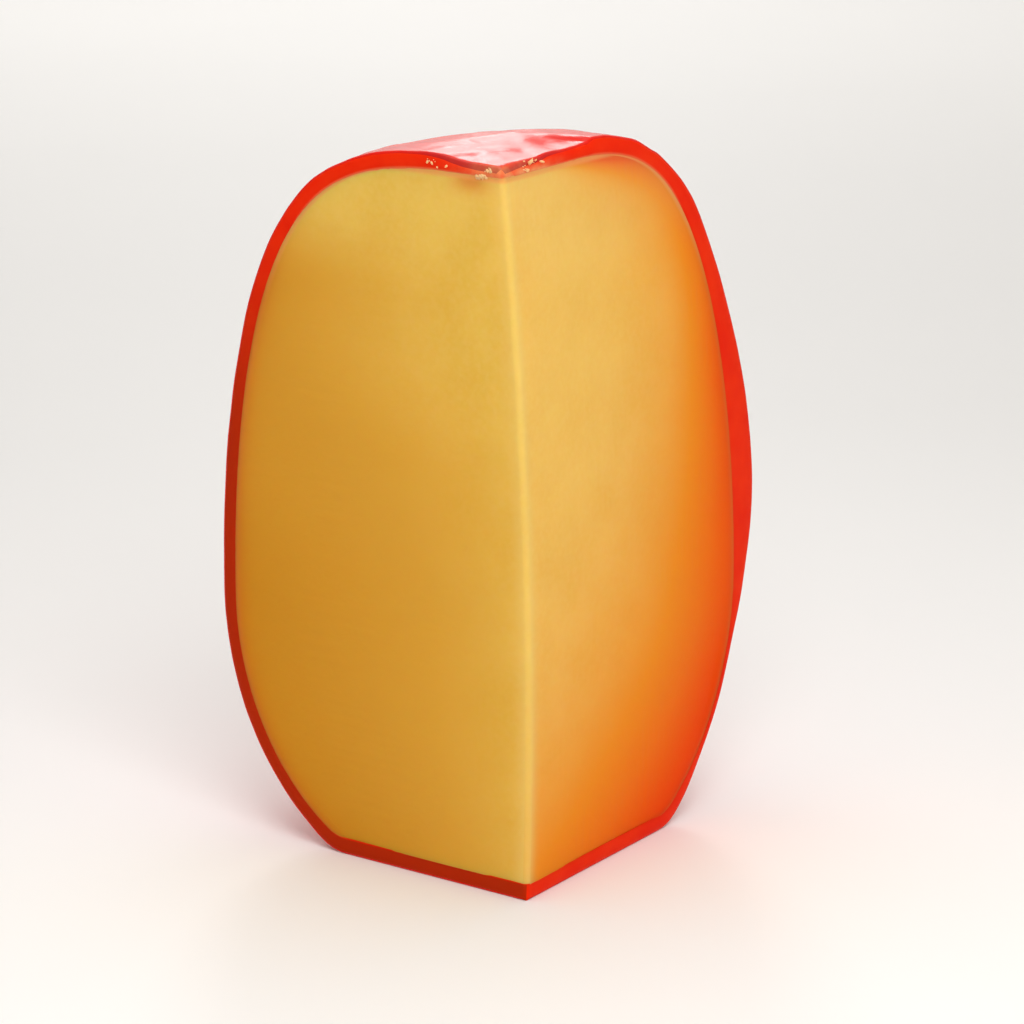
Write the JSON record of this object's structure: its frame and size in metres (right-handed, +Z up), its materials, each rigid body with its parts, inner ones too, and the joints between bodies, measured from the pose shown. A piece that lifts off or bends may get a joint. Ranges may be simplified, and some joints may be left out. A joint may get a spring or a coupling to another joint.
{
  "type": "edam cheese wedge",
  "caption": "Upright wedge cut from a ball of Edam cheese: smooth golden cut faces that meet in a ridge, and red wax over the rounded back, top and foot.",
  "frame": {"origin": "on the surface that the wedge stands on, under the middle of its bounding box", "axes": "+Z up, along the axis of the ball that the wedge was cut from; +Y from the ridge where the cuts meet towards the waxed back; +X to the right as seen from the ridge"},
  "size_m": [0.098, 0.0698, 0.1295],
  "materials": {
    "cheese": "smooth semi-hard cheese paste, moist and slightly translucent, satin where the knife went",
    "wax": "red cheese wax, smooth with a soft satin gloss"
  },
  "bodies": {
    "root": {"cheese_paste": "cheese", "wax_coat": "wax"}
  },
  "joints": []
}
